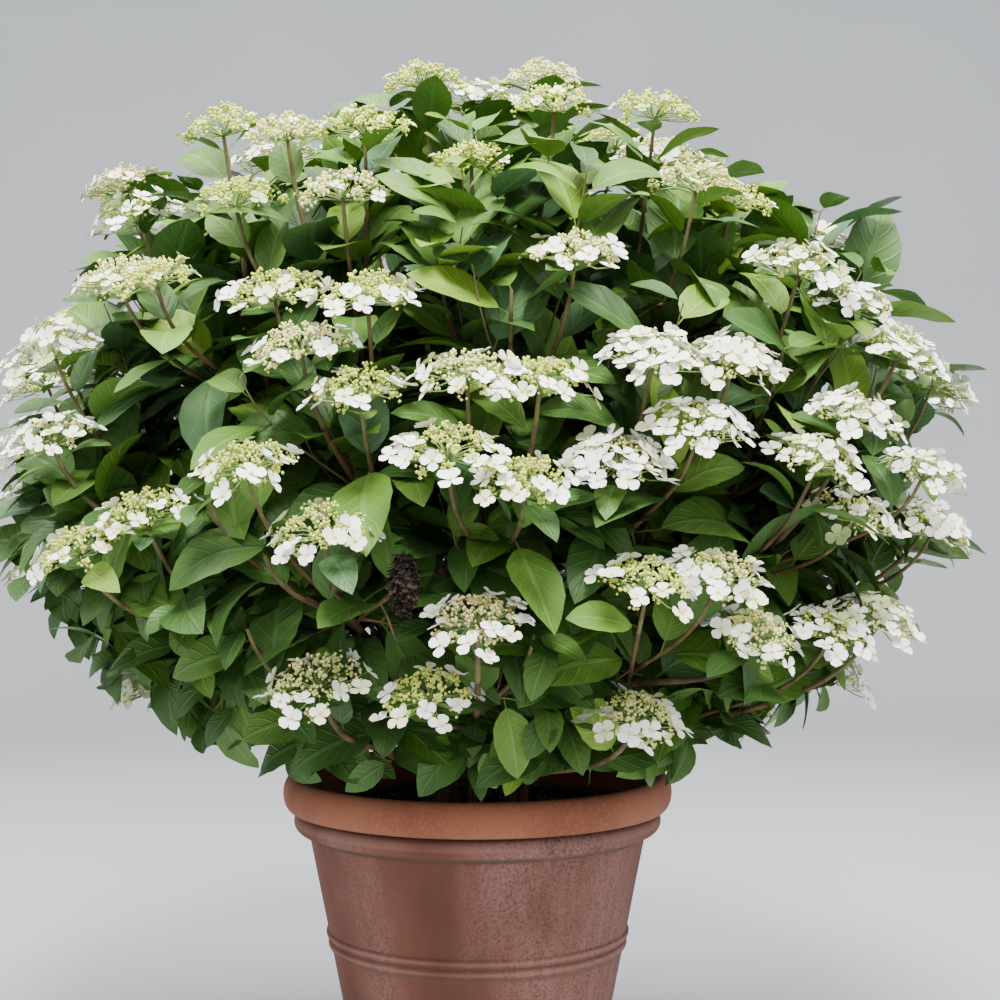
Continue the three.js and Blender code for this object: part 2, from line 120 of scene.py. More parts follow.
# Each stem's rows: name, azimuth and elevation of the mass seen from the hub, flower heads, leafy
# shoots, degrees from the mass's middle to its tips, the first tip's turn about it, and the kind of
# its flowers, or mixed. The first row is the mass at the stem's own end.
STEMS = [
    ("centre", [
        ("top", 7, 73.5, 4, 0, 6.5, 325, "green"),
        ("top_left", -29, 61.5, 4, 0, 5.5, 135, "green"),
        ("top_right", 43, 66.5, 4, 0, 5, 330, "mixed"),
        ("top_back", 175, 81, 6, 0, 12, 18, "mixed"),
    ]),
    ("front", [
        ("front_middle", 4, 44, 4, 0, 6.5, 35, "lace"),
        ("front_upper", 3, 56.5, 1, 3, 6, 0, "lace"),
        ("front_lower", 4, 27, 2, 2, 6.5, 115, "lace"),
    ]),
    ("front_right", [
        ("front_right_middle", 24, 31, 3, 0, 5, 315, "lace"),
        ("front_right_upper", 22, 42, 4, 0, 5.5, 35, "full"),
        ("front_right_lower", 18, 20.5, 1, 3, 7, 20, "lace"),
    ]),
    ("right", [
        ("right_middle", 51, 37.5, 4, 0, 6.5, 95, "white"),
        ("right_upper", 50, 49, 3, 1, 5, 295, "white"),
        ("right_lower", 51, 26, 2, 2, 7, 20, "white"),
    ]),
    ("back_right", [
        ("back_right_middle", 121, 29, 5, 1, 12, -60, "mixed"),
        ("back_right_upper", 107, 59, 6, 0, 12.5, 30, "white"),
        ("back_right_side", 86, 34, 5, 2, 12, 0, "white"),
    ]),
    ("back", [
        ("back_upper", 182, 55, 6, 1, 13.5, 47, "mixed"),
        ("back_middle", 156, 31, 6, 1, 12.5, -90, "lace"),
        ("back_lower", 203, 30, 6, 1, 13, -60, "mixed"),
    ]),
    ("back_left", [
        ("back_left_middle", -122, 30, 5, 1, 12, -120, "lace"),
        ("back_left_upper", -113, 59, 6, 0, 13, 20, "mixed"),
        ("back_left_side", -88, 34, 5, 2, 12, 20, "white"),
    ]),
    ("left", [
        ("left_middle", -61, 43, 2, 2, 7, 325, "white"),
        ("left_upper", -49, 57.5, 4, 0, 8.5, 70, "mixed"),
        ("left_lower", -42, 32, 2, 2, 5.5, 70, "lace"),
    ]),
    ("front_left", [
        ("front_left_middle", -25, 39, 2, 2, 5.5, 0, "lace"),
        ("front_left_upper", -18, 49.5, 4, 0, 5, 230, "lace"),
        ("front_left_lower", -26, 25, 1, 3, 7, 45, "lace"),
    ]),
]
# Side shoots, a row for each layer: how many directions, the elevations between which they lie, how
# clear of the flower heads, and the shares of the twig and of the crown's reach at which they start
# and end.
LAYERS = (
    (640, 90, 6, 8, (0.12, 0.5), (0.76, 0.95)),
    (80, 26, 10, -10, (0.1, 0.4), (0.78, 1.0)),
    (140, 90, 21, -200, (0.05, 0.3), (0.66, 0.84)),
    (310, 90, 17, -200, (0.02, 0.2), (0.5, 0.72)),
)

# Leaves: points along and across, half width, slope at the foot, fold, pairs of side veins, lean
# along the twig, sag, number of shapes, spread of lengths, the share of a twig that stays bare,
# where the stalk's two stations lie before the blade, and the colours: a darker green for painted
# shade, a bright green for painted light, a bluish green for a painted sky reflection and an inner
# green painted lighter to lift the shade inside the crown.
LEAF = {
    "fine": (11, 5), "coarse": (6, 3), "half": 0.275, "rise": 0.25, "fold": 0.045, "veins": 7,
    "forward": 0.55, "sag": 0.3, "shapes": 10, "vary": (0.82, 1.18), "least_share": 0.12,
    "stalk": (-0.16, -0.015), "colours": ("mid", "fresh", "deep", "lit", "blue", "inner"),
}

# The kinds of flower head, from green in bud to lace with a ring of open florets and white all
# over: rays, beads on each, bud colours to draw from, florets, the band of the radius in which they
# stand, their widths, and their colours with the share of each.
KINDS = {
    "green": (
        19, (24, 30), ["green", "green", "green", "cream"],
        (5, 11), (0.45, 0.92), (12, 20), {"green": 0.5, "cream": 0.36, "white": 0.14},
    ),
    "lace": (
        24, (16, 20), ["cream", "cream", "cream", "green", "green", "tan"],
        (11, 17), (0.62, 0.95), (23, 31), {"white": 0.72, "cream": 0.28},
    ),
    "full": (
        20, (10, 14), ["cream", "cream", "tan"],
        (24, 32), (0.25, 0.98), (25, 34), {"white": 0.82, "cream": 0.18},
    ),
    "white": (
        18, (9, 13), ["cream", "green"],
        (20, 28), (0.3, 0.98), (22, 31), {"white": 0.72, "cream": 0.22, "green": 0.06},
    ),
}
# The share of each kind in a mixed mass.
MIXED = {"green": 0.3, "lace": 0.4, "white": 0.3}


def place_camera():
    """The camera in front of the plant, at the height of the crown's middle."""
    data = bpy.data.cameras.new("camera")
    data.sensor_width = CAMERA["sensor"]
    data.lens = CAMERA["lens"]
    camera = bpy.data.objects.new("camera", data)
    camera.location = CAMERA["place"]
    camera.rotation_euler = (math.radians(90 - CAMERA["down"]), 0, 0)
    bpy.context.scene.collection.objects.link(camera)
    bpy.context.scene.camera = camera


def place_lights():
    """An even pale world and round lamps that point at the crown."""
    world = bpy.data.worlds.new("studio")
    world.use_nodes = True
    background = world.node_tree.nodes["Background"]
    background.inputs["Color"].default_value = STUDIO["colour"]
    background.inputs["Strength"].default_value = STUDIO["strength"]
    bpy.context.scene.world = world
    for name, place, size, watts in LIGHTS:
        data = bpy.data.lights.new(name, "AREA")
        data.shape = "DISK"
        data.size = size
        data.energy = watts
        lamp = bpy.data.objects.new(name, data)
        lamp.location = place
        aim = Vector((0, 0, LIT_HEIGHT)) - Vector(place)
        lamp.rotation_euler = aim.to_track_quat("-Z", "Y").to_euler()
        bpy.context.scene.collection.objects.link(lamp)


def mesh_object(name, points, faces, uv=None, smooth=True, tone=None):
    """A mesh of points in millimetres and an (n, 3 or 4) array of faces, UV and tone by point."""
    mesh = bpy.data.meshes.new(name)
    points = np.asarray(points) * 0.001
    mesh.vertices.add(points.size // 3)
    mesh.vertices.foreach_set("co", points.astype(np.float32).ravel())
    count, sides = faces.shape
    mesh.loops.add(count * sides)
    mesh.loops.foreach_set("vertex_index", faces.astype(np.int32).ravel())
    mesh.polygons.add(count)
    mesh.polygons.foreach_set("loop_start", np.arange(count, dtype=np.int32) * sides)
    mesh.polygons.foreach_set("use_smooth", np.full(count, smooth))
    if uv is not None:
        layer = mesh.uv_layers.new(name="shape")
        layer.data.foreach_set("uv", uv[faces.ravel()].astype(np.float32).ravel())
    if tone is not None:
        attribute = mesh.attributes.new("tone", "FLOAT", "POINT")
        attribute.data.foreach_set("value", tone.astype(np.float32))
    mesh.update(calc_edges=True)
    mesh.validate()
    made = bpy.data.objects.new(name, mesh)
    bpy.context.scene.collection.objects.link(made)
    return made


def add_piece(made, material, replaces=()):
    """Gives a piece its material and its body, and hides the CAD parts that it replaces."""
    made.data.materials.append(material)
    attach(made, "root")
    if replaces:
        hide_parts(*replaces)
    return made


def grid_faces(rows, columns, closed):
    """Quads of a grid of points, the columns joined round when closed."""
    across = columns if closed else columns - 1
    i, j = np.meshgrid(np.arange(rows - 1), np.arange(across), indexing="ij")
    a = i * columns + j
    b = i * columns + (j + 1) % columns
    return np.stack([a, b, b + columns, a + columns], -1).reshape(-1, 4)


def repeated(faces, count, points_each):
    """The same faces for `count` copies of a shape with `points_each` points."""
    shift = (np.arange(count) * points_each)[:, None, None]
    return (faces[None] + shift).reshape(-1, faces.shape[1])


def xyz(x, y, z):
    """Points from arrays of their x, y and z, each spread to the same shape."""
    return np.stack(np.broadcast_arrays(x, y, z), -1)


def unit(v):
    """Vectors brought to length 1."""
    return v / np.maximum(np.linalg.norm(v, axis=-1, keepdims=True), 1e-9)


def copies(name, shape, faces, axes, size, spot, uv=None, tone=None):
    """Copies of a shape in one mesh: point = spot + size * (x * side + y * over + z * face).

    `shape` is (points, 3), or (copies, points, 3) with a shape for each, and `axes` (copies, 3, 3).
    """
    points = np.einsum("...ij,...jk->...ik", shape, axes) * size[:, None, None] + spot[:, None]
    count, each = points.shape[:2]
    uv = None if uv is None else np.tile(uv, (count, 1))
    return mesh_object(name, points, repeated(faces, count, each), uv, tone=np.repeat(tone, each))


def square_to(along):
    """Two directions square to each other and to each of the given ones."""
    side = unit(np.cross(along, UP + 0.01))
    return side, np.cross(along, side)


def tubes(paths, radii, sides):
    """Round bars along paths: point = path(k) + radius(k) * (cos a * side(k) + sin a * over(k)).

    `paths` is (bars, stations, 3) and `radii` (bars, stations) or the same for all bars.
    """
    along = unit(np.gradient(paths, axis=1))
    level = np.where(np.abs(along[:, :1, 2:]) > 0.9, [[[1.0, 0, 0]]], [[[0, 0, 1.0]]])
    side = unit(np.cross(along, np.broadcast_to(level, along.shape)))
    over = np.cross(along, side)
    angle = 2 * np.pi * np.arange(sides) / sides
    ring = np.cos(angle)[:, None] * side[:, :, None] + np.sin(angle)[:, None] * over[:, :, None]
    radii = np.broadcast_to(radii, paths.shape[:2])
    points = paths[:, :, None] + radii[:, :, None, None] * ring
    bars, stations = paths.shape[:2]
    faces = repeated(grid_faces(stations, sides, True), bars, stations * sides)
    share = np.linspace(0, 1, stations)
    uv = np.stack(np.broadcast_arrays(angle[None, :] / (2 * np.pi), share[:, None]), -1)
    return points.reshape(-1, 3), faces, np.tile(uv.reshape(-1, 2), (bars, 1))


def add_bars(name, bars, material):
    """One piece of round bars, given by their paths, radii and sides."""
    points, faces, uv = tubes(*bars)
    add_piece(mesh_object(name, points, faces, uv), material)


def dice(seed):
    """A repeatable run of numbers between 0 and 1."""
    state = (seed * 2654435761) & 0xFFFFFFFF
    while True:
        state = (state * 1664525 + 1013904223) & 0xFFFFFFFF
        yield state / 4294967296


def direction(azimuth, elevation):
    """A unit vector: azimuth 0 looks out to the front, along -y, and 90 to the right, along x."""
    a, e = math.radians(azimuth), math.radians(elevation)
    return np.array([math.sin(a) * math.cos(e), -math.cos(a) * math.cos(e), math.sin(e)])


def reach(d):
    """The distance from the hub to the crown's surface along each direction, found by halving."""
    d = np.asarray(d, float)
    near, far = np.zeros(d.shape[:-1]), np.full(d.shape[:-1], 2.0 * CROWN["width"])
    for _ in range(24):
        middle = (near + far) / 2
        height = HUB[2] + middle * d[..., 2] - CROWN["level"]
        level = np.hypot(middle * d[..., 0] / CROWN["width"], middle * d[..., 1] / CROWN["depth"])
        upright = np.abs(height) / np.where(height > 0, CROWN["rise"], CROWN["drop"])
        power = np.where(height > 0, SQUARENESS, TAPER)
        inside = level**power + upright**power < 1
        near, far = np.where(inside, middle, near), np.where(inside, far, middle)
    return near


def from_hub(d, distance):
    return HUB + np.asarray(d) * distance


class Route:
    """A cubic curve that leaves `start` along `first` and comes to `end` along `last`.

    `leafy` is the share of it at which its outermost leaf stands.
    """

    def __init__(self, start, first, end, last):
        self.span = float(np.linalg.norm(end - start))
        self.leafy = 0.0
        handle = HANDLE * self.span
        self.corners = (start, start + handle * first, end - handle * last, end)

    def point(self, t):
        t = np.asarray(t, float)[..., None]
        a, b, c, d = self.corners
        return (1 - t) ** 3 * a + 3 * t * (1 - t) ** 2 * b + 3 * t**2 * (1 - t) * c + t**3 * d

    def along(self, t):
        t = np.asarray(t, float)[..., None]
        a, b, c, d = self.corners
        return unit((1 - t) ** 2 * (b - a) + 2 * t * (1 - t) * (c - b) + t**2 * (d - c))


def make_masses():
    """The masses of every stem with their tips: flower heads first, then leafy shoots."""
    masses, tips = [], []
    for stem, rows in STEMS:
        for name, azimuth, elevation, heads, shoots, spread, turn, kind in rows:
            mass = {"name": name, "stem": stem, "tips": []}
            numbers = dice(len(masses) + 1)
            middle = direction(azimuth, elevation)
            right, above = direction(azimuth + 90, 0), direction(azimuth, elevation + 90)
            inner = 1 if spread > WIDE else 0
            around = heads + shoots - inner
            for i in range(inner + around):
                a = math.radians(turn + 360 * i / around)
                out = 0 if i < inner else math.tan(math.radians(spread))
                aim = unit(middle + out * (math.cos(a) * right + math.sin(a) * above))
                sort = "head" if i < heads else "shoot"
                width = HEAD["width"] * (HEAD["least"] + HEAD["vary"] * next(numbers))
                room = ROOM["head"] * width if sort == "head" else ROOM["shoot"]
                sunk = HEAD["sunk"] * next(numbers)
                tip = {"aim": aim, "sort": sort, "kind": kind, "width": width}
                mass["tips"].append({**tip, "room": room, "sunk": sunk})
            if name == DRIED["mass"]:
                aim = direction(DRIED["azimuth"], DRIED["elevation"])
                tip = {"aim": aim, "sort": "dried", "room": ROOM["dried"], "sunk": DRIED["sunk"]}
                mass["tips"].append(tip)
            for tip in mass["tips"]:
                tip["mass"] = mass
            tips += mass["tips"]
            masses.append(mass)
    spread_tips(tips)
    for mass in masses:
        mass["aim"] = unit(sum(tip["aim"] for tip in mass["tips"]))
    return masses, tips


def spread_tips(tips):
    """Tips closer than their room are pushed apart, and none is let down on to the pot."""
    lowest = math.sin(math.radians(LOWEST_TIP))
    for _ in range(ROOM["rounds"]):
        for i, a in enumerate(tips):
            a["reach"] = float(reach(a["aim"]))
            for b in tips[i + 1 :]:
                apart = b["aim"] - a["aim"]
                closeness = ROOM["same"] if a["mass"] is b["mass"] else 1
                wanted = closeness * (a["room"] + b["room"]) / a["reach"]
                length = math.sqrt(apart @ apart)
                if length >= wanted:
                    continue
                apart = apart * (0.5 * (wanted - length) / length)
                for tip, push in ((a, -apart), (b, apart)):
                    aim = tip["aim"] + push
                    aim = aim / math.sqrt(aim @ aim)
                    if aim[2] < lowest:
                        aim[2] = lowest
                        aim = aim / math.sqrt(aim @ aim)
                    tip["aim"] = aim


def grow_limbs(masses):
    """A stem to its own mass and a bough to each other one, each with its radii and flare."""
    limbs = []
    for index, (stem, _) in enumerate(STEMS):
        leader, *others = [mass for mass in masses if mass["stem"] == stem]
        ring = STEM["ring"] if index else 0
        foot = direction((index - 1) * 45, 0) * ring + UP * (SOIL["height"] - 6)
        end = from_hub(leader["aim"], ENTRY * reach(leader["aim"]))
        path = Route(foot, UP, end, leader["aim"])
        limbs.append((path, STEM["foot"], STEM["tip"], STEM["flare"]))
        for i, mass in enumerate(others):
            at = BOUGH["leaves"] + BOUGH["apart"] * i
            start = path.point(at)
            tip = from_hub(mass["aim"], ENTRY * reach(mass["aim"]))
            first = unit(path.along(at) * BOUGH["lean"] + unit(tip - start) * (1 - BOUGH["lean"]))
            limbs.append((Route(start, first, tip, mass["aim"]), BOUGH["foot"], BOUGH["tip"], 0))
    return limbs


def grow_twigs(masses):
    """A mass's leader runs from its bough's tip to the first tip, with side twigs to the others."""
    for mass in masses:
        leader = None
        for i, tip in enumerate(mass["tips"]):
            back = SHOOT_BACK if tip["sort"] == "shoot" else 0
            tip["crest"] = from_hub(tip["aim"], reach(tip["aim"]) * (1 - tip["sunk"]) - back)
            tip["axis"] = unit(HEAD["out"] * tip["aim"] + HEAD["up"] * UP)
            height = HEAD["height"] * tip["width"] / HEAD["width"] if tip["sort"] == "head" else 0
            end = tip["crest"] - 0.5 * height * tip["axis"]
            if leader is None:
                start = from_hub(mass["aim"], ENTRY * reach(mass["aim"]) + GAP)
                tip["route"] = leader = Route(start, mass["aim"], end, tip["axis"])
                tip["radii"] = (TWIG["foot"], TWIG["tip"])
            else:
                start = leader.point(TWIG["first"] + TWIG["apart"] * i)
                tip["route"] = Route(start, unit(end - start), end, tip["axis"])
                tip["radii"] = (TWIG["side"] + 1, TWIG["side"])


def grow_side_shoots(tips, layer, rng):
    """Leafy shoots that fill the crown: directions on an even spiral that no flower head takes."""
    count, highest, lowest, clear, starts, ends = layer
    aims = np.array([tip["aim"] for tip in tips])
    rooms = np.array([tip["room"] * (1.0 if tip["sort"] == "head" else 0.5) for tip in tips])
    k = np.arange(count) + 0.5
    high, low = math.sin(math.radians(highest)), math.sin(math.radians(lowest))
    z = high - k / count * (high - low)
    turn = k * GOLDEN
    level = np.sqrt(1 - z * z)
    spiral = xyz(np.cos(turn) * level, np.sin(turn) * level, z)
    spiral = unit(spiral + rng.normal(0, 0.02, spiral.shape))
    limit = reach(spiral)
    apart = np.arccos(np.clip(spiral @ aims.T, -1, 1)) * limit[:, None]
    free = (apart > rooms + clear).all(1)
    shoots = []
    for aim, far, near in zip(spiral[free], limit[free], apart[free].argmin(1)):
        parent = tips[near]["route"]
        start = parent.point(rng.uniform(*starts))
        end = from_hub(aim, far * rng.uniform(*ends))
        if end[2] < LOWEST["front"] + PROUD:
            continue
        last = unit(HEAD["out"] * aim + 0.35 * UP + rng.normal(0, 0.12, 3))
        first = unit(unit(end - start) + 0.5 * parent.along(0.4))
        shoots.append(Route(start, first, end, last))
    return shoots


def leaf_shape(bend, twist, wave, stations, columns):
    """One leaf's points and UV with its length 1: x runs along it, y across and z out of its face.

    Its middle line turns down by `bend` radians a length, its half width is
    0.275 * s^0.62 * (1 - s)^0.9 / 0.36 with small teeth, its halves are folded up from the midrib
    by `fold` * |y|^1.4 and its face is raised between the side veins by
    0.008 * |y| * (1 - |y| / 2). It is twisted by `twist` radians and waved by `wave` * y^2. The
    stalk is the strip before s = 0.
    """
    s = np.concatenate([LEAF["stalk"], np.linspace(0.03, 1, stations)])
    blade = np.clip(s, 0, 1)
    half = LEAF["half"] * blade**0.62 * (1 - blade) ** 0.9 / 0.36
    teeth = 1 + 0.02 * np.where(np.arange(len(s)) % 2, -1, 1) * (blade < 0.97)
    half = np.maximum(half, 0.010 * (1 - blade))[:, None]
    y = np.linspace(-1, 1, columns)[None]
    off = np.abs(y)
    slope = LEAF["rise"] - bend * blade**1.15
    step = np.diff(s, prepend=s[0])
    x = np.cumsum(np.cos(slope) * step)[:, None]
    z = np.cumsum(np.sin(slope) * step)[:, None]
    blade, slope = blade[:, None], slope[:, None]
    spread = np.where(off > 0.9, half * teeth[:, None], half) * y
    lift = LEAF["fold"] * off**1.4 * half / LEAF["half"]
    veins = np.sin(2 * np.pi * (LEAF["veins"] * (blade - 0.3 * off)))
    lift = lift + 0.008 * veins * (off * (1 - 0.5 * off) * (half > 0.05))
    lift = lift + wave * np.sin(9 * blade + 3 * y) * off**2
    cos, sin = np.cos(twist * blade), np.sin(twist * blade)
    level, out = spread * cos - lift * sin, lift * cos + spread * sin
    points = xyz(x - out * np.sin(slope), level, z + out * np.cos(slope))
    uv = np.stack(np.broadcast_arrays(0.5 + 0.5 * y, s[:, None]), -1)
    return points.reshape(-1, 3), uv.reshape(-1, 2)


def leaf_pairs(route, back, lengths, rng, rows):
    """Opposite pairs of leaves, each pair square to the one before, at distances back from the tip.

    Low in the crown the leaves hang and face outward, high up they rise.
    """
    phase = rng.uniform(0, math.pi)
    for level, (distance, length) in enumerate(zip(back, lengths)):
        t = 1 - distance / route.span
        if t < LEAF["least_share"]:
            break
        point, along = route.point(t), route.along(t)
        outward = unit(point - HUB)
        low = min(1.0, max(0.0, (680 - point[2]) / 220))
        high = min(1.0, max(0.0, (point[2] - 700) / 350))
        side, over = square_to(along)
        for half in (0, 1):
            a = phase + math.pi / 2 * level + math.pi * half + rng.normal(0, 0.2)
            run = LEAF["forward"] * min(1, (distance + 12) / 60) * along
            run = run + math.cos(a) * side + math.sin(a) * over
            sag = LEAF["sag"] * ((1 + 1.6 * low) * rng.uniform(0.3, 1.6) - 1.3 * high)
            run = unit(run - sag * UP)
            normal = outward * (rng.uniform(0.5, 1.2) + 0.5 * low) + (0.75 - 0.45 * low) * UP
            normal = normal + rng.normal(0, 0.2, 3)
            normal = unit(normal - (normal @ run) * run)
            rows.append((point, run, normal, length * rng.uniform(*LEAF["vary"]), route, t))


def grow_leaves(tips, shoots, rng):
    """Every leaf that stays in the crown, as arrays of roots, runs, normals and lengths."""
    rows = []
    for tip in tips:
        leaf_pairs(tip["route"], *PAIRS[tip["sort"]], rng, rows)
    back, lengths = PAIRS["side"]
    for shoot in shoots:
        big = rng.uniform(0.85, 1.12)
        leaf_pairs(shoot, back, np.array(lengths) * big, rng, rows)
    root, run, normal, length = (np.array([row[i] for row in rows]) for i in range(4))
    keep = np.ones(len(rows), bool)
    wide, deep = HEAD["bare"]
    for share in (0.5, 1.0):
        sunk = 0.12 * share * share * length
        spot = root + run * (share * length)[:, None] - UP * sunk[:, None]
        out = spot - HUB
        distance = np.linalg.norm(out, axis=1)
        limit = reach(out / distance[:, None])
        over = np.where(spot[:, 2] > CROWN["level"], PROUD, HANG)
        lowest = np.where(spot[:, 1] < LOWEST["front_of"], LOWEST["front"], LOWEST["round"])
        keep &= (distance < limit + over) & (spot[:, 2] > lowest)
        for tip in tips:
            if tip["sort"] != "head":
                continue
            off = spot - (tip["crest"] - 0.25 * HEAD["height"] * tip["axis"])
            high = off @ tip["axis"]
            flat = np.linalg.norm(off - high[:, None] * tip["axis"], axis=1)
            keep &= ~((flat < wide * tip["width"]) & (high > -deep * HEAD["height"]))
    for row in np.flatnonzero(keep):
        route, t = rows[row][4:]
        route.leafy = max(route.leafy, t)
    return root[keep], run[keep], normal[keep], length[keep]


def leaf_colours(root, run, length, rng):
    """A colour's name for each leaf, with painted shade and painted light among them.

    Deep leaves, a darker green, are painted shade: more of them low down and further in. Lit leaves
    are painted light on the surface up high, a bluish green paints the sky's reflection on outer
    leaves up high, and the innermost leaves take a lighter green that paints light into the crown's
    shade. Leaves are fresher near the top.
    """
    out = root + run * (0.6 * length)[:, None] - HUB
    distance = np.linalg.norm(out, axis=1)
    share = distance / reach(out / distance[:, None])
    high = np.clip((root[:, 2] - LOWEST["front"]) / 800, 0, 1)
    luck = rng.uniform(0, 1, len(root))
    names = np.full(len(root), "mid", dtype="U8")
    for name, chosen in (
        ("fresh", luck < 0.07 + 0.56 * high),
        # painted shade: dark deep leaves, more of them low down and further inside the crown
        ("deep", luck > 0.28 + 0.58 * high),
        ("deep", (share < 0.80) & (luck > 0.25 + 0.3 * high)),
        # painted light: bright lit leaves on the surface up high
        ("lit", (share > 0.84) & (high > 0.45) & (luck < 0.17)),
        # painted sky reflection: a bluish green on some outer leaves up high
        ("blue", (share > 0.80) & (high > 0.35) & (luck > 0.9)),
        # painted light on a few outer leaves anywhere on the surface
        ("lit", (share > 0.80) & (luck > 0.6) & (luck < 0.62)),
        # a lighter green for the innermost leaves, painted light in the crown's shade
        ("inner", share < 0.68),
    ):
        names[chosen] = name
    return names


def make_leaves(root, run, normal, length, names, materials, rng, nodes):
    """Leaves by colour, each a copy of one of the shapes, with x along its run and z its normal."""
    bends = [
        (rng.uniform(0.35, 1.2), rng.uniform(-0.5, 0.5), rng.uniform(0.004, 0.014))
        for _ in range(LEAF["shapes"])
    ]
    axes = np.stack([run, np.cross(normal, run), normal], 1)
    which = rng.integers(0, LEAF["shapes"], len(root))
    tone = rng.uniform(0, 1, len(root))
    for number, name in enumerate(LEAF["colours"]):
        grid = LEAF["coarse" if name == "inner" else "fine"]
        shapes, uvs = zip(*(leaf_shape(*bend, *grid) for bend in bends))
        quads = grid_faces(len(uvs[0]) // grid[1], grid[1], False)
        pick = np.flatnonzero(names == name)
        made = copies(
            "leaves_" + name, np.array(shapes)[which[pick]], quads,
            axes[pick], length[pick], root[pick], uvs[0], tone[pick],
        )
        add_piece(made, materials["leaf_" + name], nodes if number == 0 else ())


def sepal_shape():
    """A cupped sepal of length 1 from its middle to its rim, widest at 0.62, with a crease down it.

    Its height is 0.1 * s^2 and rises to its sides by 0.09 * |y| * half width / 0.46.
    """
    s = np.array([0.0, 0.30, 0.62, 0.87, 1.0])[:, None]
    half = np.array([0.06, 0.28, 0.46, 0.38, 0.10])[:, None]
    y = np.array([-1.0, 0.0, 1.0])
    x = s - 0.06 * s**2 * np.abs(y)
    z = 0.10 * s**2 + 0.09 * np.abs(y) * half / 0.46
    return xyz(x, half * y, z).reshape(-1, 3)


def floret_shape(rng):
    """Sepals of length 1 set round the z axis, the even ones a little above the odd ones."""
    sepal = sepal_shape()
    parts = []
    for i in range(SEPALS):
        a = 2 * np.pi * i / SEPALS + rng.normal(0, 0.07)
        x, y, z = (sepal * rng.uniform(0.82, 1.10)).T
        tilt = rng.uniform(-0.22, 0.40)
        out = x * math.cos(tilt) - z * math.sin(tilt)
        up = x * math.sin(tilt) + z * math.cos(tilt) + 0.03 * (i % 2)
        cos, sin = math.cos(a), math.sin(a)
        parts.append(xyz(out * cos - y * sin, out * sin + y * cos, up))
    return np.concatenate(parts)


BEAD = np.array([[1, 0, 0], [0, 1, 0], [-1, 0, 0], [0, -1, 0], [0, 0, 1], [0, 0, -1]], float)
BEAD_FACES = np.array(
    [[0, 1, 4], [1, 2, 4], [2, 3, 4], [3, 0, 4], [1, 0, 5], [2, 1, 5], [3, 2, 5], [0, 3, 5]]
)


def dome_spots(tip, count, band, rng, stray):
    """Points and outward directions on a head's dome, on an even spiral in a band of its radius.

    At the share s of the radius the dome is 0.56 * s^2 of the head's height under its crest.
    """
    low, high = band
    k = np.arange(count) + 0.5
    share = np.sqrt(low**2 + (high**2 - low**2) * k / count) + rng.normal(0, stray, count)
    turn = k * GOLDEN + rng.uniform(0, 7)
    axis = tip["axis"]
    side = unit(np.cross(axis, UP + 0.013))
    over = np.cross(axis, side)
    height = HEAD["height"] * tip["width"] / HEAD["width"]
    radius = 0.5 * tip["width"]
    level = np.cos(turn)[:, None] * side + np.sin(turn)[:, None] * over
    drop = (HEAD["drop"] * height * share**2)[:, None]
    point = tip["crest"] + radius * share[:, None] * level - drop * axis
    out = unit(axis + level * (2 * HEAD["drop"] * height / radius * share)[:, None])
    return point, out


def grow_head(tip, rng, parts):
    """One head's branchlets, its clusters of beads and its florets round them."""
    kind = tip["kind"]
    if kind == "mixed":
        kind = rng.choice(list(MIXED), p=list(MIXED.values()))
    rays, beads, bud_colours, florets, band, sizes, shares = KINDS[kind]
    end = tip["crest"] - 0.5 * HEAD["height"] * tip["width"] / HEAD["width"] * tip["axis"]
    point, out = dome_spots(tip, rays, (0, 0.86), rng, 0.03)
    point = point - out * rng.uniform(2, 9, rays)[:, None]
    middle = (end + point) / 2 + tip["axis"] * 3
    parts["rays"].append(np.stack([end + 0 * point, middle, point - out * 3], 1))
    beads = rng.integers(*beads)
    offset = unit(rng.normal(0, 1, (rays, beads, 3)) + 0.8 * out[:, None])
    offset = offset * rng.uniform(2, 10, (rays, beads, 1))
    buds = (point[:, None] + offset).reshape(-1, 3)
    parts["buds_" + str(rng.choice(bud_colours))].append(buds)
    florets = rng.integers(*florets)
    spot, out = dome_spots(tip, florets, band, rng, 0.04)
    spot = spot + out * rng.uniform(0, 7, florets)[:, None]
    face = unit(out + 0.25 * UP + rng.normal(0, 0.30, out.shape))
    bent = (end + 2 * spot) / 3 - face * 4
    parts["rays"].append(np.stack([end + 0 * spot, bent, spot], 1))
    size = rng.uniform(*sizes, florets) * 0.5
    colours = rng.choice(list(shares), florets, p=list(shares.values()))
    for colour in set(colours):
        pick = colours == colour
        parts["florets_" + str(colour)].append((spot[pick], face[pick], size[pick]))
    parts["buds_green" if kind == "green" else "buds_cream"].append(spot + face * 1.5)


def make_buds(name, rows, rng):
    """Six-pointed beads of 1.5 to 2.6 mm radius, each turned its own way."""
    spots = np.concatenate(rows)
    size = rng.uniform(1.5, 2.6, len(spots))
    spin = unit(rng.normal(0, 1, (len(spots), 3)))
    axes = np.stack([*square_to(spin), spin], 1)
    tone = rng.uniform(0, 1, len(spots))
    return copies(name, BEAD, BEAD_FACES, axes, size, spots, tone=tone)


def make_florets(name, rows, shapes, rng):
    """Open florets, each a copy of one of the shapes, turned about its own face."""
    rings, columns = SEPAL_GRID
    sepal = grid_faces(rings, columns, False)
    quads = np.concatenate([sepal + rings * columns * i for i in range(SEPALS)])
    spot, face, size = (np.concatenate([row[i] for row in rows]) for i in range(3))
    side = unit(np.cross(face, rng.normal(0, 1, face.shape)))
    axes = np.stack([side, np.cross(face, side), face], 1)
    which = rng.integers(0, len(shapes), len(spot))
    tone = rng.uniform(0, 1, len(spot))
    uv = np.stack(np.meshgrid([0, 0.5, 1], np.linspace(0, 1, rings)), -1).reshape(-1, 2)
    return copies(name, shapes[which], quads, axes, size, spot, np.tile(uv, (SEPALS, 1)), tone)


